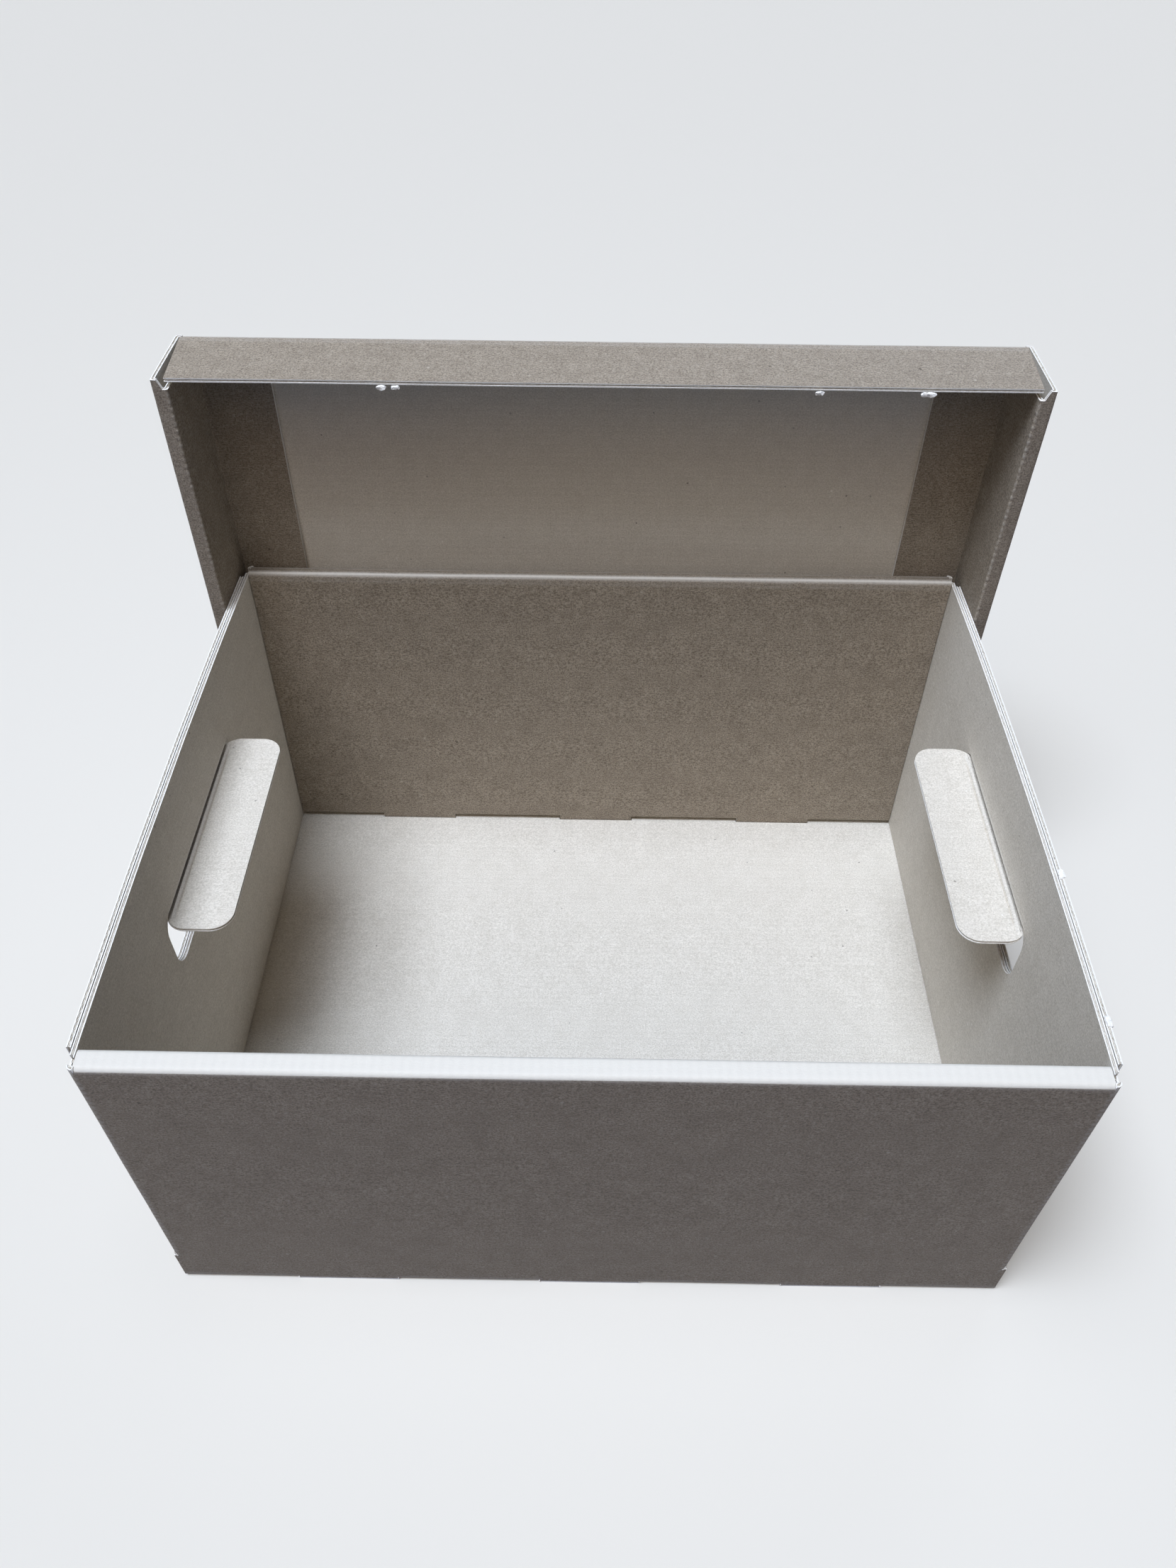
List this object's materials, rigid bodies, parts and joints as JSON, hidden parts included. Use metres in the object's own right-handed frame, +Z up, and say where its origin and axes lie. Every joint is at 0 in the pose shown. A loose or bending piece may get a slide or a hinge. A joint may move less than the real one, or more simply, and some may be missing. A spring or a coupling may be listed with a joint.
{
  "type": "archive box",
  "caption": "Folded corrugated archive box: tray with rolled long walls, locking tabs and hinged hand-hole flaps, with its lift-off lid stood on edge behind it.",
  "frame": {"origin": "on the floor, at the middle of the bounding box of tray and lid", "axes": "+Z up, +X along the long walls, +Y from the tray's front wall towards the lid behind it"},
  "size_m": [0.38, 0.2976, 0.2964],
  "materials": {
    "tray_board": "uncoated brown kraft corrugated board, greyish inner liner",
    "lid_board": "uncoated brown kraft corrugated board, greyish inner liner",
    "flap_board": "greyish recycled inner liner with specks, white raw edges"
  },
  "bodies": {
    "box": {"tray": "tray_board", "lid": "lid_board"},
    "left_flap": {"left_hand_flap": "flap_board"},
    "right_flap": {"right_hand_flap": "flap_board"}
  },
  "joints": [
    {"name": "left_flap_hinge", "type": "hinge", "parent": "box", "child": "left_flap", "pos_m": [-0.1804, -0.00253, 0.13858], "axis": [0, -1, -0.0074], "range_deg": [-90, 10]},
    {"name": "right_flap_hinge", "type": "hinge", "parent": "box", "child": "right_flap", "pos_m": [0.1804, -0.00253, 0.13858], "axis": [0, 1, 0.0074], "range_deg": [-90, 10]}
  ]
}
